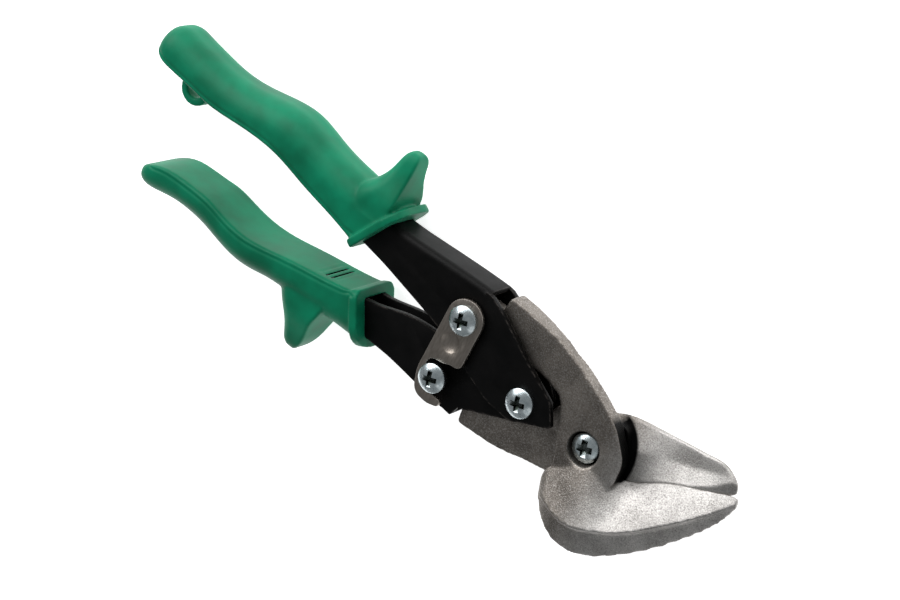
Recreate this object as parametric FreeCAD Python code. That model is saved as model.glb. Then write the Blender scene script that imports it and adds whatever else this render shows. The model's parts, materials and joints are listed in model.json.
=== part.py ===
import FreeCAD, Part
import math
import os

# Compound-action offset aviation snips, modelled closed and latched, in millimetres.
# Working frame: origin on the jaw pivot axis, +X towards the jaw tips, +Y towards the upper handle,
# +Z towards the screw heads. Z = 0 is the plane in which the two blades shear past each other.
# At the end everything is shifted so that the origin is at the bottom centre of the bounding box.

V = FreeCAD.Vector
Z_AXIS = V(0, 0, 1)

# Linkage: jaw pivot at (0, 0), handle pivot on the X axis, tang pivots mirrored about it
handle_pivot = V(-23.5, 0, 0)
upper_tang_pivot = V(-51.2, 11, 0)
lower_tang_pivot = V(-51.2, -11, 0)
jaw_pivot = V(0, 0, 0)

# Levels along Z
shear_gap = 0.05            # each blade stands this far off the shear plane
hub_z = 5.0                 # outer face of each hub
tang_z = 3.4                # half thickness of the upper tang
lower_tang_z = 2.5          # half thickness of the lower tang
boss_z = 4.6                # half thickness of the upper tang's bosses
sheet = 1.8                 # handle steel
outer_z = 6.5               # outer face of the upper handle's side plates
nested_z = 4.4              # outer face of the lower handle's side plates where they nest
latch_z = 7.0               # underside of the latch
latch_thickness = 1.6

# Bounds that lie well outside the part, for cutting tools
far_z = 20
far_y = 60

# Pivots
shank_r = 2.5
running = 0.06              # radial clearance of a running fit
loose = 0.35                # radial clearance in the lower handle's hole at the handle pivot
boss_r = 5.6
head_r = 4.7
head_height = 2.7
rim_share = 0.42            # part of a head's height that is straight before the dome
cross_foot = 0.36           # width of the cross at its bottom, as a share of its span
cross_turn = 20             # how far the cross is turned, in degrees
cross_size = (1.6, 6.2, 1.9)        # arm width, span and depth of the cross recess
nut_r = 4.6                 # across corners
nut_height = 3.6
jaw_shank_r = 3.0
jaw_head_r = 4.6
jaw_cross_size = (2.0, 6.6, 2.0)    # arm width, span and depth of the cross recess
jaw_recess_r = 5.4
jaw_recess_floor = 2.0
jaw_head_height = 2.6
jaw_screw_end = -10.2
jaw_nut_r = 5.6              # across corners
jaw_nut_end = -9.8
washer_r = 6.4
washer_thickness = 1.1
nut_recess_r = 7.0
collar_r = 3.2
latch_washer_r = 5.4
spacer_r = 3.1
spring_r = 4.0              # to the middle of the wire
spring_wire_r = 0.5
spring_pitch = 1.3
spring_turns = 2.5
spring_steps_a_turn = 24
spring_leg_end = -47.0

# Blades
cut_start = V(13.8, -2.1, 0)        # rear end of the lower blade's cutting edge
cut_angle = 28.6                    # its direction from +X, in degrees
cut_length = 37.6


def rounded_wire(corners):
    """A closed polygon in the XY plane from (x, y, corner radius) entries."""
    edges = []
    starts = []
    ends = []
    count = len(corners)
    for i in range(count):
        x, y, r = corners[i]
        here = V(x, y, 0)
        before = V(corners[i - 1][0], corners[i - 1][1], 0) - here
        after = V(corners[(i + 1) % count][0], corners[(i + 1) % count][1], 0) - here
        before.normalize()
        after.normalize()
        if r == 0:
            starts.append(here)
            ends.append(here)
            continue
        half = before.getAngle(after) / 2
        reach = r / math.tan(half)
        middle = before + after
        middle.normalize()
        centre = here + middle * (r / math.sin(half))
        starts.append(here + before * reach)
        ends.append(here + after * reach)
        edges.append((i, Part.Arc(starts[i], centre - middle * r, ends[i]).toShape()))
    arcs = dict(edges)
    ordered = []
    for i in range(count):
        if i in arcs:
            ordered.append(arcs[i])
        following = starts[(i + 1) % count]
        if (following - ends[i]).Length > 1e-6:
            ordered.append(Part.LineSegment(ends[i], following).toShape())
    return Part.Wire(ordered)


def prism(corners, z0, z1):
    """Extrude a rounded polygon from z0 to z1."""
    shape = Part.Face(rounded_wire(corners)).extrude(V(0, 0, z1 - z0))
    shape.translate(V(0, 0, z0))
    return shape


def side_prism(corners, half_depth):
    """Extrude a polygon given as (x, z) pairs along Y, both ways."""
    points = [V(x, -half_depth, z) for x, z in corners]
    wire = Part.makePolygon(points + points[:1])
    return Part.Face(wire).extrude(V(0, 2 * half_depth, 0))


def disc(centre, r, z0, z1):
    """A cylinder along Z."""
    return Part.makeCylinder(r, z1 - z0, V(centre.x, centre.y, z0), Z_AXIS)


def ring(centre, r_outer, r_inner, z0, z1):
    """A tube along Z."""
    return disc(centre, r_outer, z0, z1).cut(disc(centre, r_inner, z0 - 1, z1 + 1))


def cross_recess(centre, top, width, span, depth):
    """The tapered cross that a screwdriver enters."""
    arms = []
    foot = span * cross_foot / 2
    for turn in (cross_turn, cross_turn + 90):
        profile = [V(-span / 2, 0, top + 0.1), V(span / 2, 0, top + 0.1),
                   V(foot, 0, top - depth), V(-foot, 0, top - depth)]
        face = Part.Face(Part.makePolygon(profile + profile[:1]))
        arm = face.extrude(V(0, width, 0))
        arm.translate(V(centre.x, centre.y - width / 2, 0))
        arm.rotate(V(centre.x, centre.y, 0), Z_AXIS, turn)
        arms.append(arm)
    return arms[0].fuse(arms[1])


def pan_screw(centre, head_base, shank_end, radius=shank_r, head_radius=head_r, height=head_height,
              cross=cross_size):
    """A pan-head screw with a cross recess, head up."""
    rim = height * rim_share
    head = disc(centre, head_radius, head_base, head_base + height)
    sphere_r = (head_radius ** 2 + (height - rim) ** 2) / (2 * (height - rim))
    dome = Part.makeSphere(sphere_r, V(centre.x, centre.y, head_base + height - sphere_r))
    head = head.common(dome.fuse(disc(centre, head_radius, head_base, head_base + rim)))
    head = head.cut(cross_recess(centre, head_base + height, *cross))
    screw = head.fuse(disc(centre, radius, shank_end, head_base))
    return screw.removeSplitter()


def hex_nut(centre, z0, z1, bore, across=nut_r):
    """A lock nut: a chamfered hexagon with its round collar on the far side from the work."""
    points = [V(centre.x + across * math.cos(math.radians(60 * i)),
                centre.y + across * math.sin(math.radians(60 * i)), z0) for i in range(6)]
    body = Part.Face(Part.makePolygon(points + points[:1])).extrude(V(0, 0, z1 - z0))
    cone = Part.makeCone(across * 0.86, across * 0.86 + (z1 - z0), z1 - z0,
                         V(centre.x, centre.y, z0), Z_AXIS)
    return body.common(cone).cut(disc(centre, bore, z0 - 1, z1 + 1))


def along_cut(s, v, z):
    """A point given along the cutting edge (s), away from it in plan (v) and in height (z)."""
    angle = math.radians(cut_angle)
    return V(cut_start.x + s * math.cos(angle) + v * math.sin(angle),
             cut_start.y + s * math.sin(angle) - v * math.cos(angle), z)


def jaw_solid(stations):
    """Loft a jaw through sections across its cutting edge, each (s, [(v, z), ...])."""
    wires = []
    for s, section in stations:
        points = [along_cut(s, v, z) for v, z in section]
        wires.append(Part.makePolygon(points + points[:1]))
    return Part.makeLoft(wires, True, False)


# Lower blade: front hub, the tang up into the upper handle, and the lower jaw

lower_blade_plan = [
    (13.6, -3.0, 0), (12.9, 4.6, 8), (5.5, 12.4, 12), (-2.6, 16.6, 20), (-12.3, 20.6, 30),
    (-24.0, 23.3, 40), (-43.4, 24.4, 1.5), (-44.0, 18.0, 0.8), (-58.3, 18.0, 6.7),
    (-58.3, 4.0, 6.7), (-40.0, 5.0, 12), (-24.0, 10.4, 10), (-14.0, 8.6, 5), (-9.9, -0.8, 4),
    (-7.0, -7.2, 6), (-5.2, -13.6, 3), (10.0, -12.0, 4)]
lower_blade_profile = [
    (-70, -tang_z), (-34, -tang_z), (-17.2, shear_gap), (40, shear_gap), (40, hub_z),
    (-8, hub_z), (-24, tang_z), (-70, tang_z)]

# Stations along the lower jaw: (s, edge v, edge z, ridge, foot of the outer wall, inner relief, land v)
lower_jaw_stations = [
    (-25.2, 3.0, 4.6, (9.0, 6.5), (12.5, 5.2), (10.0, 2.0), 5.0),
    (-22.0, -1.5, 5.0, (8.0, 9.2), (18.5, 6.2), (14.0, 1.8), 4.0),
    (-15.0, -3.0, 5.0, (12.6, 11.6), (23.0, 6.8), (17.0, 2.0), 4.0),
    (-7.0, -3.0, 4.7, (13.9, 12.2), (23.6, 6.6), (18.0, 2.4), 3.6),
    (1.0, -0.2, 0.7, (13.5, 11.4), (22.0, 6.0), (17.0, 2.4), 3.2),
    (11.0, -1.1, 0.5, (11.3, 9.4), (18.7, 5.2), (14.0, 2.2), 3.0),
    (21.0, -1.8, 0.5, (7.9, 7.0), (14.0, 4.4), (10.5, 2.0), 2.4),
    (30.0, -1.7, 0.4, (4.2, 4.4), (8.8, 3.2), (6.8, 1.4), 1.6),
    (cut_length, -1.1, 0.35, (0.2, 1.8), (1.6, 1.5), (1.3, 0.8), 0.4)]
cove_out = 0.12             # the outer wall is hollow: how far out and down its deepest point lies
cove_down = 0.62


def lower_jaw_section(edge_v, edge_z, ridge, foot, relief, land_v):
    """Points (v, z) round the lower jaw, from its cutting edge over the ridge and back underneath."""
    cove = (ridge[0] + cove_out * (foot[0] - ridge[0]), ridge[1] + cove_down * (foot[1] - ridge[1]))
    return [(edge_v, shear_gap), (edge_v, edge_z), ridge, cove, foot, relief, (land_v, shear_gap)]


def make_lower_blade():
    """The front forging."""
    body = prism(lower_blade_plan, -10, 10).common(side_prism(lower_blade_profile, far_y))
    for side in (-1, 1):
        low, high = sorted((side * tang_z, side * boss_z))
        body = body.fuse(disc(upper_tang_pivot, boss_r, low, high))
    body = body.fuse(jaw_solid([(row[0], lower_jaw_section(*row[1:])) for row in lower_jaw_stations]))
    body = body.cut(disc(jaw_pivot, jaw_shank_r + running, -far_z, far_z))
    body = body.cut(disc(jaw_pivot, jaw_recess_r, jaw_recess_floor, far_z))
    body = body.cut(disc(upper_tang_pivot, shank_r + running, -far_z, far_z))
    return body.removeSplitter()


# Upper blade: rear hub, the tang down into the lower handle, and the upper jaw

upper_blade_plan = [
    (13.6, 3.0, 0), (12.9, -4.6, 8), (5.5, -12.4, 12), (-7.4, -16.2, 14), (-22.3, -19.6, 30),
    (-40.2, -21.4, 1.5), (-40.6, -16.3, 0.8), (-58.0, -16.3, 5.8),
    (-58.0, -4.2, 5.8), (-40.0, -5.0, 12), (-30.0, -9.0, 6), (-23.5, -6.6, 6), (-17.4, -3.6, 4),
    (-15.0, 4.0, 4), (-8.0, 8.4, 4), (-3.0, 12.0, 3), (7.4, 11.6, 3)]
upper_blade_profile = [
    (-70, lower_tang_z), (-27, lower_tang_z), (-17.2, -shear_gap), (40, -shear_gap), (40, -hub_z),
    (-9.6, -hub_z), (-13.4, -lower_tang_z), (-70, -lower_tang_z)]

# Sections of the upper jaw: cutting edge, end of the ground land, hollow, rim top and bottom, keel, edge
upper_jaw_stations = [
    (-9.0, [(-4.0, -shear_gap), (-5.0, -shear_gap), (-9.5, -0.9), (-15.8, -2.8), (-16.4, -4.4),
            (-11.0, -4.9), (-4.0, -4.6)]),
    (-3.0, [(1.0, -shear_gap), (-4.0, -shear_gap), (-10.0, -1.3), (-18.6, -4.6), (-18.2, -6.8),
            (-10.0, -8.4), (1.0, -3.6)]),
    (4.0, [(0.6, -shear_gap), (-1.0, -shear_gap), (-8.8, -1.9), (-16.9, -5.8), (-16.6, -7.8),
           (-9.0, -9.8), (0.6, -1.4)]),
    (13.0, [(-0.2, -shear_gap), (-1.6, -shear_gap), (-7.8, -3.1), (-14.4, -5.4), (-14.1, -7.2),
            (-8.0, -9.2), (-0.2, -0.8)]),
    (22.0, [(-0.7, -shear_gap), (-1.9, -shear_gap), (-6.8, -2.8), (-12.2, -4.2), (-11.9, -5.8),
            (-6.8, -7.6), (-0.7, -0.8)]),
    (30.0, [(-0.8, -shear_gap), (-3.4, -shear_gap), (-6.8, -1.7), (-10.5, -2.6), (-10.2, -4.0),
            (-5.6, -5.6), (-0.8, -0.8)]),
    (34.0, [(-1.2, -shear_gap), (-4.9, -shear_gap), (-6.6, -0.8), (-8.5, -1.5), (-8.2, -2.6),
            (-4.6, -3.8), (-1.2, -0.6)]),
    (36.0, [(-1.7, -shear_gap), (-5.1, -shear_gap), (-5.6, -0.3), (-6.3, -0.7), (-6.1, -1.7),
            (-4.0, -2.4), (-1.7, -0.6)]),
    (36.9, [(-2.6, -shear_gap), (-4.0, -shear_gap), (-4.2, -0.15), (-4.5, -0.35), (-4.4, -1.1),
            (-3.5, -1.4), (-2.6, -0.6)])]


def make_upper_blade():
    """The rear forging."""
    body = prism(upper_blade_plan, -10, 10).common(side_prism(upper_blade_profile, far_y))
    body = body.fuse(jaw_solid(upper_jaw_stations))
    body = body.cut(disc(jaw_pivot, jaw_shank_r + running, -far_z, far_z))
    body = body.cut(disc(jaw_pivot, nut_recess_r, -far_z, -hub_z))
    body = body.cut(disc(lower_tang_pivot, shank_r + running, -far_z, far_z))
    return body.removeSplitter()


# Handles: U channels of sheet steel whose side plates widen at the front around the pivots

def smooth_band(top, bottom, z0, z1):
    """A prism between two smooth curves through (x, y) points, both listed rear to front."""
    upper = Part.BSplineCurve()
    upper.interpolate([V(x, y, 0) for x, y in top])
    lower = Part.BSplineCurve()
    lower.interpolate([V(x, y, 0) for x, y in bottom])
    rear = Part.LineSegment(V(*bottom[0], 0), V(*top[0], 0)).toShape()
    front = Part.LineSegment(V(*bottom[-1], 0), V(*top[-1], 0)).toShape()
    wire = Part.Wire([rear, upper.toShape(), front, lower.toShape()])
    band = Part.Face(wire).extrude(V(0, 0, z1 - z0))
    band.translate(V(0, 0, z0))
    return band


def shifted(points, dy):
    return [(x, y + dy) for x, y in points]


upper_bend_r = 2.4          # outer radius of the channels' bends
lower_bend_r = 2.2
web_front = -48.5           # where the upper channel's web stops and only its plates go on

upper_web = [(-176, 23.0), (-163, 22.1), (-152, 23.0), (-141, 25.0), (-133, 25.5), (-122, 24.0),
             (-112, 22.2), (-98, 20.6), (-84, 20.4), (-71, 21.4), (-60, 22.3), (web_front, 22.9)]
upper_open_edge = [(-176, 17.3), (-163, 16.1), (-152, 16.6), (-139, 17.9), (-132, 17.4),
                   (-122, 15.2), (-112, 13.0), (-98, 9.8), (-84, 7.8), (-75, 6.0), (-65.5, 4.1),
                   (-59.5, 2.7), (web_front, -0.6)]
upper_plate_plan = [
    (-50, 22.0, 0), (-47.4, 21.8, 1.5), (-42.6, 19.9, 6), (-28.5, 12.3, 20), (-15.4, 6.1, 3),
    (-11.2, -0.6, 0.9), (-20.3, -5.2, 4), (-24.0, -7.4, 5), (-34.0, -6.8, 12), (-50, -1.0, 0)]


def make_upper_handle():
    """The upper channel with its two pivot plates, outside the lower handle's."""
    block = smooth_band(upper_web, upper_open_edge, -outer_z, outer_z)
    long_edges = [e for e in block.Edges if e.BoundBox.XLength > 100 and e.BoundBox.YMax > 24]
    block = block.makeFillet(upper_bend_r, long_edges)
    inside = smooth_band(shifted(upper_web, -sheet), shifted(upper_open_edge, -8),
                         sheet - outer_z, outer_z - sheet)
    block = block.cut(inside)
    for z0 in (-outer_z, outer_z - sheet):
        block = block.fuse(prism(upper_plate_plan, z0, z0 + sheet))
    block = block.cut(disc(upper_tang_pivot, shank_r, -far_z, far_z))
    block = block.cut(disc(handle_pivot, shank_r, -far_z, far_z))
    return block.removeSplitter()


lower_web = [(-172, -20.9), (-163, -19.2), (-154, -18.7), (-147, -19.0), (-138, -20.6),
             (-130, -21.7), (-122, -21.4), (-111, -20.0), (-98, -18.2), (-85, -17.4),
             (-74, -17.4), (-66, -17.9), (-56, -18.9), (-46, -19.7)]
lower_open_edge = [(-172, -16.8), (-163, -14.9), (-154, -14.2), (-147, -14.3), (-138, -15.3),
                   (-130, -15.6), (-122, -14.4), (-111, -11.4), (-98, -7.9), (-87, -6.6),
                   (-80.5, -5.4), (-73, -2.9), (-66, -1.1), (-58, -0.2), (-46, 1.0)]
lower_plate_plan = [
    (-60, -0.4, 0), (-46, 1.2, 20), (-31.0, 5.8, 10), (-23.2, 8.2, 6), (-16.0, 0.8, 6),
    (-19.5, -5.6, 5), (-41.4, -16.4, 1), (-42.4, -19.9, 0.5), (-60, -18.5, 0)]
lower_taper = [(-190, outer_z), (-94, outer_z), (-70, nested_z), (0, nested_z)]


def mirrored_profile(line):
    """Close a side profile given by its +Z line with the same line at -Z."""
    return line + [(x, -z) for x, z in reversed(line)]


def make_lower_handle():
    """The lower channel, drawn in at the front so that it nests between the upper plates."""
    block = smooth_band(lower_open_edge, lower_web, -outer_z, outer_z)
    long_edges = [e for e in block.Edges if e.BoundBox.XLength > 100 and e.BoundBox.YMin < -21]
    block = block.makeFillet(lower_bend_r, long_edges)
    plates = prism(lower_plate_plan, -outer_z, outer_z)
    block = block.fuse(plates).common(side_prism(mirrored_profile(lower_taper), far_y))
    inner_taper = [(x, z - sheet) for x, z in lower_taper]
    inside = smooth_band(shifted(lower_open_edge, 8), shifted(lower_web, sheet), -outer_z, outer_z)
    inside = inside.fuse(prism([(-52, -18.1, 0), (-40, -19.0, 0), (0, -19, 0), (0, 20, 0),
                                (-52, 20, 0)], -outer_z, outer_z))
    block = block.cut(inside.common(side_prism(mirrored_profile(inner_taper), far_y)))
    block = block.cut(disc(lower_tang_pivot, shank_r, -far_z, far_z))
    block = block.cut(disc(handle_pivot, shank_r + loose, -far_z, far_z))
    return block.removeSplitter()


# Grips: moulded sleeves around the channels

def grip_section(x, inner, outer, half_width):
    """A section across the grip at x: nearly square on the inner side, round on the palm's side."""
    palm_r = min(palm_share * abs(outer - inner), palm_side_share * half_width)
    wire = rounded_wire([(inner, -half_width, crease_r), (outer, -half_width, palm_r),
                         (outer, half_width, palm_r), (inner, half_width, crease_r)])
    wire.rotate(V(0, 0, 0), V(1, 1, 1), 120)
    wire.translate(V(x, 0, 0))
    return wire


def sleeve(stations):
    """Loft a grip's body through (x, inner y, outer y, half width) stations."""
    return Part.makeLoft([grip_section(*station) for station in stations], True, False)


crease_r = 1.3              # corner between a grip's inner face and its sides
palm_share = 0.72           # the round corner on the palm's side, as a share of the grip's depth
palm_side_share = 0.82      # and at most this share of its half width
upper_grip_stations = [
    (-188.8, 18.8, 24.6, 6.0), (-187.8, 17.4, 26.6, 8.4), (-185.2, 16.4, 27.9, 9.7),
    (-180.0, 15.6, 27.6, 10.0), (-173, 15.1, 26.6, 10.0), (-163, 14.2, 25.7, 10.0),
    (-152, 15.0, 26.6, 10.2), (-141, 16.0, 28.9, 10.6), (-132, 15.6, 29.6, 10.6),
    (-121, 13.2, 27.3, 10.2), (-111, 11.3, 25.7, 10.0), (-103, 9.7, 25.0, 9.8),
    (-92, 7.6, 24.4, 9.6), (-80, 5.4, 24.2, 9.6)]
lower_grip_stations = [
    (-175.4, -17.9, -23.2, 8.2), (-172.8, -15.9, -24.4, 9.7),
    (-163, -12.7, -23.0, 10.0), (-155, -12.2, -22.1, 10.1),
    (-147, -12.2, -22.6, 10.4), (-138, -13.6, -24.2, 10.7), (-131, -13.9, -25.0, 10.8),
    (-122, -12.7, -24.0, 10.5), (-112, -10.4, -22.8, 10.1), (-101, -8.2, -21.8, 9.9),
    (-88, -5.2, -20.6, 9.7), (-72, -2.6, -19.6, 9.6)]

# Guards: rounded rectangles stacked outwards, as (y, rear x, front x, half width)
guard_round = 0.42          # rear corners, as a share of the guard's smaller width
guard_front_r = 0.6         # the guards' front faces are flat, with nearly square edges
upper_guard_levels = [
    (18.0, -108.0, -89.4, 9.6), (24.0, -104.6, -89.4, 8.9), (30.0, -99.8, -89.8, 6.8),
    (36.0, -97.6, -90.4, 4.6), (40.2, -96.2, -91.0, 3.4), (41.6, -94.8, -92.2, 1.8)]
lower_guard_levels = [
    (-16.0, -117.0, -95.4, 9.4), (-24.0, -112.4, -96.2, 8.6), (-30.0, -108.6, -97.2, 6.6),
    (-34.0, -107.0, -98.0, 5.2), (-37.4, -105.6, -99.6, 3.8), (-39.0, -104.2, -101.0, 2.0)]


def guard_solid(levels):
    """A guard that narrows from the grip to its rounded tip."""
    wires = []
    for y, rear, front, half_width in levels:
        r = min(front - rear, 2 * half_width) * guard_round
        wire = rounded_wire([(rear, -half_width, r), (front, -half_width, guard_front_r),
                             (front, half_width, guard_front_r), (rear, half_width, r)])
        wire.rotate(V(0, 0, 0), V(1, 0, 0), 90)
        wire.translate(V(0, y, 0))
        wires.append(wire)
    return Part.makeLoft(wires, True, False)


def flange(front_top, front_foot, thickness, half_width, top_r, foot_r):
    """A leaning collar at the mouth of a grip, its face through two points seen from the side."""
    low = V(*front_foot, 0)
    high = V(*front_top, 0)
    up = high - low
    normal = V(up.y, -up.x, 0)
    normal.normalize()
    outline = rounded_wire([(-half_width, 0, foot_r), (half_width, 0, foot_r),
                            (half_width, up.Length, top_r), (-half_width, up.Length, top_r)])
    plate = Part.Face(outline).extrude(V(0, 0, thickness))
    up.normalize()
    placed = FreeCAD.Matrix(0, up.x, -normal.x, low.x, 0, up.y, -normal.y, low.y, 1, 0, 0, 0, 0, 0, 0, 1)
    return plate.transformGeometry(placed)


def behind_flange(front_top, front_foot):
    """Everything to the rear of a flange's face."""
    top = V(*front_top, 0)
    foot = V(*front_foot, 0)
    along = top - foot
    high = top + along
    low = foot - along
    return prism([(-220, low.y, 0), (low.x, low.y, 0), (high.x, high.y, 0), (-220, high.y, 0)], -30, 30)


upper_flange = ((-84.6, 25.4), (-95.6, 6.0))
lower_flange = ((-86.2, -3.4), (-77.2, -20.2))
upper_flange_size = (2.6, 11.2, 7.5, 3.0)       # thickness, half width, corner radii at the top and foot
lower_flange_size = (3.0, 10.8, 3.0, 8.0)
eye_centre = V(-175.2, 10.6, -3.15)
eye_outer_r = 5.7
eye_r = 3.2
eye_length = 4.7
eye_root_y = 18.0           # inside the grip


def channel_room(web, open_edge, taper):
    """The space that a handle channel takes up inside its grip."""
    room = smooth_band(web, open_edge, -outer_z, outer_z)
    return room.common(side_prism(mirrored_profile(taper), far_y))


def make_upper_grip():
    """The upper sleeve with its thumb guard, front flange and hanging eye."""
    body = sleeve(upper_grip_stations).common(behind_flange(*upper_flange))
    body = body.fuse(guard_solid(upper_guard_levels))
    body = body.fuse(flange(*upper_flange, *upper_flange_size))
    left, right = eye_centre.x - eye_outer_r, eye_centre.x + eye_outer_r
    bottom = eye_centre.y - eye_outer_r
    corner_r = eye_outer_r * 0.99
    lug = [(left, eye_root_y, 0), (left, bottom, corner_r), (right, bottom, corner_r), (right, eye_root_y, 0)]
    body = body.fuse(prism(lug, eye_centre.z - eye_length / 2, eye_centre.z + eye_length / 2))
    body = body.cut(disc(eye_centre, eye_r, -far_z, far_z))
    return body.cut(channel_room(upper_web, upper_open_edge, [(-190, outer_z), (0, outer_z)]))


def make_lower_grip():
    """The lower sleeve with its finger guard and front flange."""
    body = sleeve(lower_grip_stations).common(behind_flange(*lower_flange))
    body = body.fuse(guard_solid(lower_guard_levels))
    body = body.fuse(flange(*lower_flange, *lower_flange_size))
    return body.cut(channel_room(lower_open_edge, lower_web, lower_taper))


# Latch: hooked over the collar of the lower tang screw

dimple_centre = V(-51.8, 2.0, 0)
dimple_r = 6.2
dimple_depth = 1.1


def make_latch():
    """A hooked plate with a thumb dimple."""
    top = latch_z + latch_thickness
    plan = [(-57.7, 17.5, 6.45), (-44.75, 17.5, 6.45), (-44.75, -3.6, 2.4), (-48.6, -4.2, 1.0),
            (-50.6, -5.2, 4), (-55.6, -6.0, 2.6), (-55.6, -15.9, 2.4), (-45.6, -15.9, 0.9),
            (-45.4, -18.3, 1.6), (-49.5, -19.6, 6), (-55.2, -19.2, 4.5), (-57.7, -12.0, 14)]
    plate = prism(plan, latch_z, top)
    dimple = Part.makeSphere(dimple_r, V(dimple_centre.x, dimple_centre.y, top + dimple_r - dimple_depth))
    return plate.cut(dimple).cut(disc(upper_tang_pivot, shank_r + running, -far_z, far_z))


def make_spring():
    """A torsion spring around the handle spacer; its legs push the two tangs apart."""
    steps = int(spring_steps_a_turn * spring_turns)
    height = spring_pitch * spring_turns
    points = [V(x, -spring_r, -height / 2) for x in (spring_leg_end, -39, -31)]
    for i in range(steps + 1):
        angle = -math.pi / 2 + i * 2 * math.pi / spring_steps_a_turn
        points.append(V(handle_pivot.x + spring_r * math.cos(angle), spring_r * math.sin(angle),
                        height * (i / steps - 0.5)))
    points += [V(x, spring_r, height / 2) for x in (-31, -39, spring_leg_end)]
    curve = Part.BSplineCurve()
    curve.interpolate(points)
    profile = Part.Wire([Part.makeCircle(spring_wire_r, points[0], V(1, 0, 0))])
    return Part.Wire([curve.toShape()]).makePipeShell([profile], True, False)


screw_end = -10.6
lower_tang_screw_end = -8.6
washer_end = -hub_z - washer_thickness
spacer_z = nested_z - sheet - 0.1
nut_top = -outer_z
head_on_latch = latch_z + latch_thickness + 0.06

nodes = {
    "lower_blade": make_lower_blade(),
    "upper_blade": make_upper_blade(),
    "jaw_screw": pan_screw(jaw_pivot, jaw_recess_floor, jaw_screw_end, jaw_shank_r, jaw_head_r,
                           jaw_head_height, jaw_cross_size),
    "jaw_washer": ring(jaw_pivot, washer_r, jaw_shank_r, washer_end, -hub_z - shear_gap),
    "jaw_nut": hex_nut(jaw_pivot, jaw_nut_end, washer_end, jaw_shank_r, jaw_nut_r),
    "upper_handle": make_upper_handle(),
    "lower_handle": make_lower_handle(),
    "upper_grip": make_upper_grip(),
    "lower_grip": make_lower_grip(),
    "handle_screw": pan_screw(handle_pivot, outer_z, screw_end),
    "handle_nut": hex_nut(handle_pivot, nut_top - nut_height, nut_top, shank_r),
    "handle_spacer": ring(handle_pivot, spacer_r, shank_r, -spacer_z, spacer_z),
    "upper_tang_screw": pan_screw(upper_tang_pivot, head_on_latch, screw_end),
    "upper_tang_nut": hex_nut(upper_tang_pivot, nut_top - nut_height, nut_top, shank_r),
    "lower_tang_screw": pan_screw(lower_tang_pivot, head_on_latch, lower_tang_screw_end),
    "lower_tang_nut": hex_nut(lower_tang_pivot, -nested_z - nut_height, -nested_z, shank_r),
    "catch_collar": ring(lower_tang_pivot, collar_r, shank_r, nested_z, head_on_latch),
    "latch": make_latch(),
    "latch_washer": ring(upper_tang_pivot, latch_washer_r, shank_r, outer_z, latch_z - 0.05),
    "opening_spring": make_spring(),
}

everything = Part.makeCompound(list(nodes.values())).optimalBoundingBox(False, False)
shift = V(-everything.Center.x, -everything.Center.y, -everything.ZMin)

os.makedirs("parts", exist_ok=True)
for name, shape in nodes.items():
    placed = shape.copy()
    placed.translate(shift)
    placed.exportStep("parts/" + name + ".step")
    print(name, "valid", placed.isValid(), "solids", len(placed.Solids), "volume", round(placed.Volume, 1))

print("size", round(everything.XLength, 2), round(everything.YLength, 2), round(everything.ZLength, 2))
for name, point in (("jaw_pivot", jaw_pivot), ("handle_pivot", handle_pivot),
                    ("upper_tang_pivot", upper_tang_pivot), ("lower_tang_pivot", lower_tang_pivot),
                    ("eye_centre", eye_centre)):
    moved = point + shift
    print(name, round(moved.x, 3), round(moved.y, 3), round(moved.z, 3))
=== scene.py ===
import json
import math

import bmesh
import bpy
from mathutils import Matrix, Vector


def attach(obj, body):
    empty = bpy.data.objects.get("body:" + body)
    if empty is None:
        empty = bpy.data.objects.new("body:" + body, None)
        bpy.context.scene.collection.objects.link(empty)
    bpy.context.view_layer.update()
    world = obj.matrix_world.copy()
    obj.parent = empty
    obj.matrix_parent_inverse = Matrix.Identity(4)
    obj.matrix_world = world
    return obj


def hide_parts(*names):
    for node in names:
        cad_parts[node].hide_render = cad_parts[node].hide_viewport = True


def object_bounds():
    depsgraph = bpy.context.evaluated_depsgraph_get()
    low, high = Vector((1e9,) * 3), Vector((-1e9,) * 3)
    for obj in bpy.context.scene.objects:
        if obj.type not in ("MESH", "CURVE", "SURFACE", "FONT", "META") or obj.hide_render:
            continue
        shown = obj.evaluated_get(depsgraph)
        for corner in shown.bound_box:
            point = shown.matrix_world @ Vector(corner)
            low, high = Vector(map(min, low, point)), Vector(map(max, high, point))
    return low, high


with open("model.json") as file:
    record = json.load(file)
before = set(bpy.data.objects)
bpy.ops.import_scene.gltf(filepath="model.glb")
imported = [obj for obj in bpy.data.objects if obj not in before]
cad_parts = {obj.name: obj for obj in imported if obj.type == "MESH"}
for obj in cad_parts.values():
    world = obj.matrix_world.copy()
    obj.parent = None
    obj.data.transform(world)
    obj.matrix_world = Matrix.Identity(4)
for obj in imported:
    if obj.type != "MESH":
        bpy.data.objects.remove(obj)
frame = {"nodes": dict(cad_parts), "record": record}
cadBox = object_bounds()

# Offset aviation snips: forged blades, black channel handles, green moulded grips, a latch and
# pivot screws.
# Everything is in metres. The tool lies along X, the screw heads look up.

mm = 0.001
scene = bpy.context.scene
scene.view_settings.view_transform = "Standard"
nodes = frame["nodes"]


joints = frame["record"]["behaviour"]["joints"]
pivot = Vector(next(joint["pos_m"] for joint in joints if joint["name"] == "jaw_hinge"))


def toLinear(hexColour):
    # sRGB hex to linear, with alpha
    parts = [int(hexColour[i:i + 2], 16) / 255 for i in (1, 3, 5)]
    return [c / 12.92 if c <= 0.04045 else ((c + 0.055) / 1.055) ** 2.4 for c in parts] + [1.0]


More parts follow.
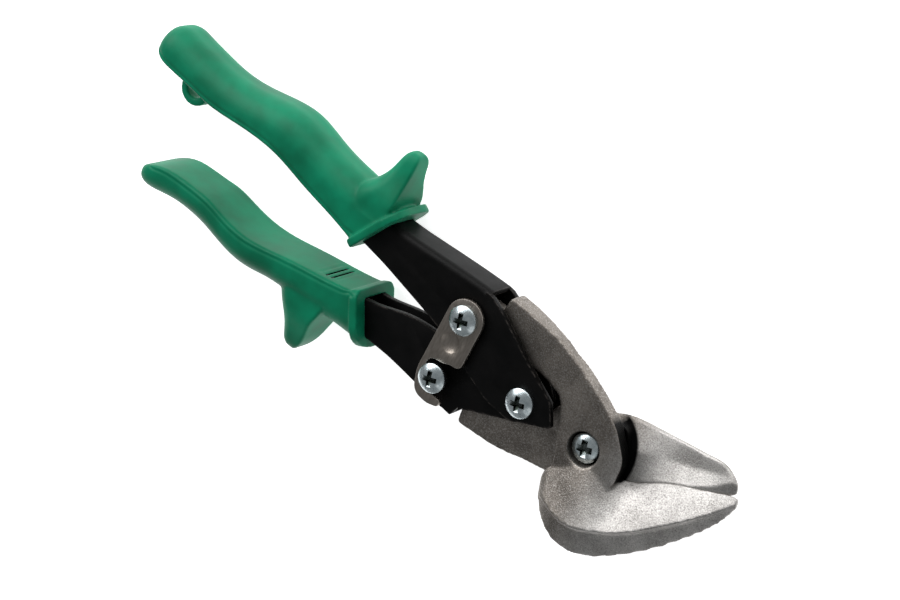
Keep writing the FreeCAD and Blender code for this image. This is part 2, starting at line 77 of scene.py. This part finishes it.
def addNode(tree, kind, settings=None, inputs=None, stops=None):
    # adds one node; an input that is a socket is linked, anything else is set
    made = tree.nodes.new(kind)
    for key, value in (settings or {}).items():
        setattr(made, key, value)
    for key, value in (inputs or {}).items():
        if isinstance(value, bpy.types.NodeSocket):
            tree.links.new(value, made.inputs[key])
        else:
            made.inputs[key].default_value = value
    if stops:
        ramp = made.color_ramp.elements
        while len(ramp) < len(stops):
            ramp.new(0.5)
        for element, (place, colour) in zip(ramp, stops):
            element.position = place
            element.color = toLinear(colour)
    return made


def newMaterial(name):
    material = bpy.data.materials.new(name)
    material.use_nodes = True
    tree = material.node_tree
    shader = tree.nodes["Principled BSDF"]
    place = addNode(tree, "ShaderNodeTexCoord").outputs["Object"]
    return material, tree, shader, place


def perMetre(sizeMm):
    # texture scale for a pattern whose feature is that many millimetres
    return 1 / (sizeMm * mm)


def mixColours(tree, amount, first, second, blend="MIX"):
    mixed = addNode(tree, "ShaderNodeMix", {"data_type": "RGBA", "blend_type": blend},
                    {0: amount, 6: first, 7: second})
    return mixed.outputs[2]


def tones(tree, amount, first, second):
    # a mix of two hex colours
    return mixColours(tree, amount, toLinear(first), toLinear(second))


def noiseOf(tree, place, sizeMm, detail=3.0, roughness=0.55):
    made = addNode(tree, "ShaderNodeTexNoise", {},
                   {"Vector": place, "Scale": perMetre(sizeMm), "Detail": detail,
                    "Roughness": roughness})
    return made.outputs["Fac"]


def rangeOf(tree, value, low, high, newLow, newHigh):
    made = addNode(tree, "ShaderNodeMapRange", {"clamp": True},
                   {0: value, 1: low, 2: high, 3: newLow, 4: newHigh})
    return made.outputs[0]


def paint(tree, shader, colour, roughness):
    tree.links.new(colour, shader.inputs["Base Color"])
    tree.links.new(roughness, shader.inputs["Roughness"])


def texture(tree, shader, height, strength, depthMm):
    bump = addNode(tree, "ShaderNodeBump", {},
                   {"Strength": strength, "Distance": depthMm * mm, "Height": height})
    tree.links.new(bump.outputs[0], shader.inputs["Normal"])


def blend(tree, operation, first, second):
    made = addNode(tree, "ShaderNodeMath", {"operation": operation, "use_clamp": True}, {0: first, 1: second})
    return made.outputs[0]


def axesOf(tree, vector):
    return addNode(tree, "ShaderNodeSeparateXYZ", {}, {0: vector}).outputs


def aoShadeMask(tree, depthMm, clear=0.75, deep=0.35):
    # painted shade from ambient occlusion: 1 deep in a recess, 0 in the open
    shade = addNode(tree, "ShaderNodeAmbientOcclusion", {"samples": 8, "only_local": True},
                    {"Distance": depthMm * mm})
    return rangeOf(tree, shade.outputs["AO"], clear, deep, 0.0, 1.0)


def edgeWear(tree, radiusMm, low, high):
    # 1 where the surface turns sharply, 0 on flats
    rounded = addNode(tree, "ShaderNodeBevel", {"samples": 6}, {"Radius": radiusMm * mm})
    flat = addNode(tree, "ShaderNodeNewGeometry")
    turn = addNode(tree, "ShaderNodeVectorMath", {"operation": "DOT_PRODUCT"},
                   {0: rounded.outputs[0], 1: flat.outputs["Normal"]})
    return rangeOf(tree, turn.outputs["Value"], high, low, 0.0, 1.0)


def blastedForging():
    # Shot-blasted forging: a dull warm grey metal with sandy grit that sparkles and cloudy patches, lighter
    # grey on the jaws (partly painted light) and brighter on rubbed edges, browner round the hub, with
    # painted black shade in crevices, on the hub wall where the jaws meet the hub and round the screw recess.
    look = {"brown": "#716b65", "brownLight": "#8f8881", "grey": "#9f9c99", "greyLight": "#bdbab7",
            "rubbed": "#dedbd7", "pit": "#4f4a46",
            "shadeBlack": "#080808", "grit": 0.42, "patch": 9.0, "wallReach": 14.9,
            "recess": 5.5, "fade": 0.5, "hubTop": 4.6, "jawFrom": 4.0, "jawFull": 16.0}
    material, tree, shader, place = newMaterial("blastedForging")
    grit = noiseOf(tree, place, look["grit"], 4.0, 0.65)
    patch = rangeOf(tree, noiseOf(tree, place, look["patch"], 3.0, 0.6), 0.35, 0.65, 0.0, 1.0)
    away = addNode(tree, "ShaderNodeVectorMath", {"operation": "SUBTRACT"}, {0: place, 1: tuple(pivot)})
    fromPivot = away.outputs[0]
    along = axesOf(tree, fromPivot)
    # partly painted light: the jaws are lighter grey than the brown hub, a real tone difference that also
    # stands in for the light the tilted jaw faces catch
    onJaw = rangeOf(tree, along[0], look["jawFrom"] * mm, look["jawFull"] * mm, 0.0, 1.0)
    hubTone = tones(tree, patch, look["brown"], look["brownLight"])
    jawTone = tones(tree, patch, look["grey"], look["greyLight"])
    base = mixColours(tree, onJaw, hubTone, jawTone)
    pitted = mixColours(tree, rangeOf(tree, grit, 0.48, 0.36, 0.0, 0.42), base, toLinear(look["pit"]))
    speck = mixColours(tree, rangeOf(tree, grit, 0.52, 0.66, 0.0, 0.4), pitted, toLinear(look["rubbed"]))
    worn = mixColours(tree, edgeWear(tree, 0.5, 0.80, 0.97), speck, toLinear(look["rubbed"]))
    # painted shade: ambient occlusion darkens crevices towards near-black
    shadedInHollows = mixColours(tree, aoShadeMask(tree, 3.0), worn, toLinear(look["shadeBlack"]))
    # painted shade: a near-black mask on the hub's front wall where the jaws meet the hub, and round the
    # screw recess above the hub top
    reach = addNode(tree, "ShaderNodeVectorMath", {"operation": "LENGTH"}, {0: fromPivot}).outputs["Value"]
    ahead = rangeOf(tree, along[0], 2.0 * mm, 4.5 * mm, 0.0, 1.0)
    near = rangeOf(tree, reach, (look["wallReach"] + 0.4) * mm, (look["wallReach"] - 0.4) * mm, 0.0, 1.0)
    below = rangeOf(tree, along[2], 4.7 * mm, 4.3 * mm, 0.0, 1.0)
    beside = rangeOf(tree, along[1], -3.2 * mm, -2.2 * mm, 0.0, 1.0)
    front = blend(tree, "MULTIPLY", ahead, near)
    wall = blend(tree, "MULTIPLY", front, blend(tree, "MULTIPLY", below, beside))
    inside = rangeOf(tree, reach, (look["recess"] + look["fade"]) * mm, look["recess"] * mm, 0.0, 1.0)
    sunk = rangeOf(tree, along[2], (look["hubTop"] + 0.3) * mm, look["hubTop"] * mm, 0.0, 1.0)
    recess = blend(tree, "MULTIPLY", inside, sunk)
    black = blend(tree, "MAXIMUM", wall, recess)
    colour = mixColours(tree, black, shadedInHollows, toLinear(look["shadeBlack"]))
    paint(tree, shader, colour, rangeOf(tree, grit, 0.3, 0.7, 0.55, 0.36))
    texture(tree, shader, grit, 0.8, 0.14)
    shader.inputs["Metallic"].default_value = 1.0
    return material


def zincPlate():
    # Bright zinc plate on a cold-headed screw: cool metal with faint smears, painted dark shade in the cross
    # recess.
    look = {"bright": "#dfe8ea", "dull": "#b3bfc3", "recessShade": "#2c332f", "smear": 1.2, "fine": 0.5}
    material, tree, shader, place = newMaterial("zincPlate")
    smear = noiseOf(tree, place, look["smear"], 3.0, 0.6)
    plate = tones(tree, rangeOf(tree, smear, 0.35, 0.65, 0.0, 1.0), look["bright"], look["dull"])
    worn = mixColours(tree, edgeWear(tree, 0.3, 0.78, 0.97), plate, toLinear(look["bright"]))
    # painted shade: ambient occlusion darkens the cross recess
    colour = mixColours(tree, aoShadeMask(tree, 3.0, 0.93, 0.72), worn, toLinear(look["recessShade"]))
    paint(tree, shader, colour, rangeOf(tree, smear, 0.3, 0.7, 0.20, 0.34))
    fine = noiseOf(tree, place, look["fine"], 2.0, 0.5)
    texture(tree, shader, fine, 0.15, 0.05)
    shader.inputs["Metallic"].default_value = 1.0
    return material


def blackOxide():
    # Black oxide on turned steel: near-black, oily, with a dull grey glint and paler rubbed edges.
    look = {"deep": "#0b0b0c", "pale": "#1d1c1b", "rubbed": "#3a3837", "mottle": 1.5}
    material, tree, shader, place = newMaterial("blackOxide")
    mottle = noiseOf(tree, place, look["mottle"], 3.0, 0.6)
    base = tones(tree, mottle, look["deep"], look["pale"])
    worn = blend(tree, "MULTIPLY", edgeWear(tree, 0.3, 0.8, 0.97), 0.6)
    colour = mixColours(tree, worn, base, toLinear(look["rubbed"]))
    paint(tree, shader, colour, rangeOf(tree, mottle, 0.3, 0.7, 0.38, 0.55))
    shader.inputs["Metallic"].default_value = 0.6
    return material


def satinEnamel():
    # Satin black enamel on stamped sheet steel: soft wide highlights, faint orange peel,
    # scuffed grey along the bends.
    look = {"deep": "#040404", "lift": "#0b0a0a", "scuff": "#5a5450", "peel": 0.8, "patch": 7.0,
            "scrape": 1.1}
    material, tree, shader, place = newMaterial("satinEnamel")
    patch = noiseOf(tree, place, look["patch"], 4.0, 0.6)
    base = tones(tree, rangeOf(tree, patch, 0.35, 0.7, 0.0, 1.0), look["deep"], look["lift"])
    stretched = addNode(tree, "ShaderNodeMapping", {}, {"Vector": place, "Scale": (0.25, 1.0, 1.0)})
    streak = noiseOf(tree, stretched.outputs[0], look["scrape"], 4.0, 0.7)
    scuffs = rangeOf(tree, streak, 0.44, 0.62, 0.0, 0.8)
    worn = blend(tree, "MULTIPLY", edgeWear(tree, 1.2, 0.80, 0.98), scuffs)
    colour = mixColours(tree, worn, base, toLinear(look["scuff"]))
    paint(tree, shader, colour, rangeOf(tree, patch, 0.3, 0.7, 0.40, 0.50))
    peel = noiseOf(tree, place, look["peel"], 2.0, 0.5)
    texture(tree, shader, peel, 0.2, 0.05)
    shader.inputs["Specular IOR Level"].default_value = 0.12
    return material


def greenVinyl():
    # Moulded green vinyl: saturated, slightly waxy, with a soft sheen, faint mould texture and rubbed edges.
    look = {"deep": "#006a4a", "light": "#008560", "rub": "#0a9069", "patch": 14.0, "grain": 0.6}
    material, tree, shader, place = newMaterial("greenVinyl")
    patch = noiseOf(tree, place, look["patch"], 3.0, 0.5)
    base = tones(tree, rangeOf(tree, patch, 0.35, 0.65, 0.0, 1.0), look["deep"], look["light"])
    worn = blend(tree, "MULTIPLY", edgeWear(tree, 0.8, 0.82, 0.98), 0.5)
    colour = mixColours(tree, worn, base, toLinear(look["rub"]))
    paint(tree, shader, colour, rangeOf(tree, patch, 0.3, 0.7, 0.42, 0.52))
    grain = noiseOf(tree, place, look["grain"], 2.0, 0.5)
    texture(tree, shader, grain, 0.12, 0.05)
    shader.inputs["IOR"].default_value = 1.53
    shader.inputs["Specular IOR Level"].default_value = 0.16
    shader.inputs["Sheen Weight"].default_value = 0.03
    shader.inputs["Sheen Roughness"].default_value = 0.4
    return material


def tumbledLatch():
    # Tumbled stamped steel: brown-grey metal with fine faint scratches, a bright rolled rim
    # and painted shade in the dimple and other hollows.
    look = {"dark": "#8a827a", "light": "#9d958d", "rim": "#e0dcd7", "shade": "#3c3834", "scratch": 0.5}
    material, tree, shader, place = newMaterial("tumbledLatch")
    long = addNode(tree, "ShaderNodeMapping", {},
                   {"Vector": place, "Rotation": (0, 0, 0.5), "Scale": (1.0, 0.2, 1.0)})
    scratch = noiseOf(tree, long.outputs[0], look["scratch"], 3.0, 0.6)
    base = tones(tree, rangeOf(tree, scratch, 0.3, 0.7, 0.0, 1.0), look["dark"], look["light"])
    rimmed = mixColours(tree, edgeWear(tree, 0.5, 0.75, 0.97), base, toLinear(look["rim"]))
    # painted shade: ambient occlusion darkens the dimple and other hollows
    hollow = blend(tree, "MULTIPLY", aoShadeMask(tree, 3.0), 0.7)
    colour = mixColours(tree, hollow, rimmed, toLinear(look["shade"]))
    paint(tree, shader, colour, rangeOf(tree, scratch, 0.3, 0.7, 0.34, 0.42))
    texture(tree, shader, scratch, 0.1, 0.04)
    shader.inputs["Metallic"].default_value = 1.0
    return material


def springWire():
    # Oil-tempered spring wire: dark blue-grey with drawing lines and paler rubbed coils.
    look = {"dark": "#2b2a2b", "light": "#4a494a", "rubbed": "#8a8886", "line": 0.3}
    material, tree, shader, place = newMaterial("springWire")
    line = noiseOf(tree, place, look["line"], 2.0, 0.5)
    drawn = tones(tree, line, look["dark"], look["light"])
    colour = mixColours(tree, edgeWear(tree, 0.2, 0.8, 0.97), drawn, toLinear(look["rubbed"]))
    paint(tree, shader, colour, rangeOf(tree, line, 0.3, 0.7, 0.3, 0.45))
    shader.inputs["Metallic"].default_value = 1.0
    return material


finishes = {
    "forging": blastedForging(),
    "zinc_screw": zincPlate(),
    "dark_steel": blackOxide(),
    "black_paint": satinEnamel(),
    "green_grip": greenVinyl(),
    "latch_steel": tumbledLatch(),
    "spring_steel": springWire(),
}
slotOf = {part["node"]: part["material_slot"] for part in frame["record"]["subparts"]}
bodyOf = {name: body for body, names in frame["record"]["behaviour"]["bodies"].items() for name in names}
for name, cadNode in nodes.items():
    cadNode.data.materials.clear()
    cadNode.data.materials.append(finishes[slotOf[name]])
print("materials made")


def mergedCopy(nodeName):
    # a closed bmesh of a CAD node
    shape = bmesh.new()
    shape.from_mesh(nodes[nodeName].data)
    bmesh.ops.remove_doubles(shape, verts=shape.verts[:], dist=0.002 * mm)
    return shape


def placePiece(shape, pieceName, nodeName, smoothAngle=None):
    mesh = bpy.data.meshes.new(pieceName)
    shape.to_mesh(mesh)
    shape.free()
    piece = bpy.data.objects.new(pieceName, mesh)
    scene.collection.objects.link(piece)
    mesh.materials.append(finishes[slotOf[nodeName]])
    for face in mesh.polygons:
        face.use_smooth = True
    if smoothAngle is not None:
        mesh.set_sharp_from_angle(angle=math.radians(smoothAngle))
    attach(piece, bodyOf[nodeName])
    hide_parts(nodeName)
    return piece


def easedEdges(nodeName, pieceName, radiusMm, angle=35, segments=2):
    # the CAD shape with its sharp edges broken
    shape = mergedCopy(nodeName)
    bmesh.ops.dissolve_limit(shape, angle_limit=math.radians(1.0), verts=shape.verts[:], edges=shape.edges[:])
    sharp = [e for e in shape.edges if len(e.link_faces) == 2 and e.calc_face_angle(0) > math.radians(angle)]
    bmesh.ops.bevel(shape, geom=sharp, offset=radiusMm * mm, offset_type="OFFSET", affect="EDGES",
                    segments=segments, profile=0.5, material=-1, clamp_overlap=True)
    return placePiece(shape, pieceName, nodeName, 30)


def softened(nodeName, pieceName, voxelMm, rounds, weightOf):
    # the CAD shape recast in fine even faces and smoothed, more where weightOf says so
    shape = mergedCopy(nodeName)
    raw = bpy.data.meshes.new(pieceName + "Raw")
    shape.to_mesh(raw)
    shape.free()
    caster = bpy.data.objects.new(pieceName + "Raw", raw)
    scene.collection.objects.link(caster)
    recast = caster.modifiers.new("recast", "REMESH")
    recast.mode = "VOXEL"
    recast.voxel_size = voxelMm * mm
    recast.use_smooth_shade = True
    graph = bpy.context.evaluated_depsgraph_get()
    shape = bmesh.new()
    shape.from_mesh(caster.evaluated_get(graph).to_mesh())
    bpy.data.objects.remove(caster)
    layer = {v: weightOf(v.co / mm) for v in shape.verts}
    for turn in range(rounds):
        moves = {}
        for v, weight in layer.items():
            if weight <= 0:
                continue
            total = Vector()
            for e in v.link_edges:
                total += e.other_vert(v).co
            moves[v] = (total / len(v.link_edges) - v.co) * (0.5 * weight)
        for v, move in moves.items():
            v.co += move
    print(pieceName, len(shape.verts), "points")
    return shape


def creaseGroove(shape, side, look):
    # A fine parting groove down both flanks of a grip, beside its inner face.
    # side is -1 if that face looks down Y, and 1 if it looks up.
    shape.normal_update()
    centreZ = pivot.z / mm
    bins = {}
    for v in shape.verts:
        if v.normal.y * side > 0.8 and look["nearZ"] < abs(v.co.z / mm - centreZ) < look["farZ"]:
            bins.setdefault(round(v.co.x / mm / look["bin"]), []).append(v.co.y / mm)
    face = {place: max(h * side for h in heights) * side for place, heights in bins.items()}
    for place in sorted(face):
        around = sorted(face[p] for p in range(place - 2, place + 3) if p in face)
        face[place] = around[len(around) // 2]
    for v in shape.verts:
        if abs(v.normal.z) < 0.75:
            continue
        at = v.co.x / mm / look["bin"]
        low = math.floor(at)
        if low not in face or low + 1 not in face:
            continue
        inner = face[low] + (face[low + 1] - face[low]) * (at - low)
        away = (inner - v.co.y / mm) * side
        v.co -= v.normal * look["depth"] * mm * math.exp(-((away - look["from"]) / look["width"]) ** 2)


forgings = {"voxel": 0.42, "rounds": 5, "flatBand": 0.9}


def jawWeight(point):
    return 0.0 if abs(point.z - pivot.z / mm) < forgings["flatBand"] else 1.0


stampings = {"latch": 0.4, "upper_handle": 0.3, "lower_handle": 0.3}
for nodeName, radius in stampings.items():
    easedEdges(nodeName, nodeName + "Eased", radius)

screws = {"jaw_screw": 0.18, "handle_screw": 0.15, "upper_tang_screw": 0.15, "lower_tang_screw": 0.15}
for nodeName, radius in screws.items():
    easedEdges(nodeName, nodeName + "Eased", radius)

for nodeName in ("lower_blade", "upper_blade"):
    forged = softened(nodeName, nodeName + "Forging", forgings["voxel"], forgings["rounds"], jawWeight)
    placePiece(forged, nodeName + "Forging", nodeName)

grips = {"voxel": 0.42, "rounds": 3, "bin": 2.0, "depth": 0.35, "from": 1.7, "width": 0.45,
         "nearZ": 6.8, "farZ": 8.4}
for nodeName, side in (("upper_grip", -1), ("lower_grip", 1)):
    moulded = softened(nodeName, nodeName + "Moulding", grips["voxel"], grips["rounds"], lambda point: 1.0)
    creaseGroove(moulded, side, grips)
    placePiece(moulded, nodeName + "Moulding", nodeName)
print("pieces made")


studio = {"floor": 6.0, "floorHex": "#fafafa", "floorGlow": 0.85, "sky": 0.26}
ground = bmesh.new()
bmesh.ops.create_grid(ground, x_segments=8, y_segments=8, size=studio["floor"])
floorMesh = bpy.data.meshes.new("floor")
ground.to_mesh(floorMesh)
ground.free()
floor = bpy.data.objects.new("floor", floorMesh)
floor.location = (0, 0, cadBox[0][2] - 0.05 * mm)
scene.collection.objects.link(floor)
paper, paperTree, paperShader, paperPlace = newMaterial("floorPaper")
paperShader.inputs["Base Color"].default_value = toLinear(studio["floorHex"])
paperShader.inputs["Roughness"].default_value = 0.9
paperShader.inputs["Emission Color"].default_value = toLinear("#ffffff")
paperShader.inputs["Emission Strength"].default_value = studio["floorGlow"]
floorMesh.materials.append(paper)

world = bpy.data.worlds.new("studio")
scene.world = world
world.use_nodes = True
world.node_tree.nodes["Background"].inputs["Color"].default_value = (0.9, 0.93, 0.95, 1)
world.node_tree.nodes["Background"].inputs["Strength"].default_value = studio["sky"]

middle = (Vector(cadBox[0]) + Vector(cadBox[1])) / 2


def softbox(name, direction, distance, size, power):
    light = bpy.data.lights.new(name, "AREA")
    light.shape = "RECTANGLE"
    light.size, light.size_y = size
    light.energy = power
    holder = bpy.data.objects.new(name, light)
    aim = Vector(direction).normalized()
    facing = aim.to_track_quat("Z", "Y").to_matrix().to_4x4()
    holder.matrix_world = Matrix.Translation(middle + aim * distance) @ facing
    scene.collection.objects.link(holder)


softbox("keyLight", (-0.745, 0.431, 0.52), 1.1, (0.9, 0.7), 8.5)
softbox("backLight", (-0.2, 0.95, 0.45), 1.1, (1.0, 0.5), 4)
softbox("fillLight", (0.75, -0.5, 0.7), 1.3, (0.8, 0.8), 0.8)

lens = bpy.data.cameras.new("camera")
lens.lens = 94.92
lens.sensor_width = 36
camera = bpy.data.objects.new("camera", lens)
right = Vector((0.73265, 0.42473, -0.53182))
up = Vector((-0.58486, 0.79251, -0.17280))
toward = Vector((0.34808, 0.43765, 0.82904))
turn = Matrix((right, up, toward)).transposed().to_4x4()
camera.matrix_world = Matrix.Translation(pivot + Vector((0.18899, 0.32439, 0.59776))) @ turn
scene.collection.objects.link(camera)
scene.camera = camera
print("stage set")
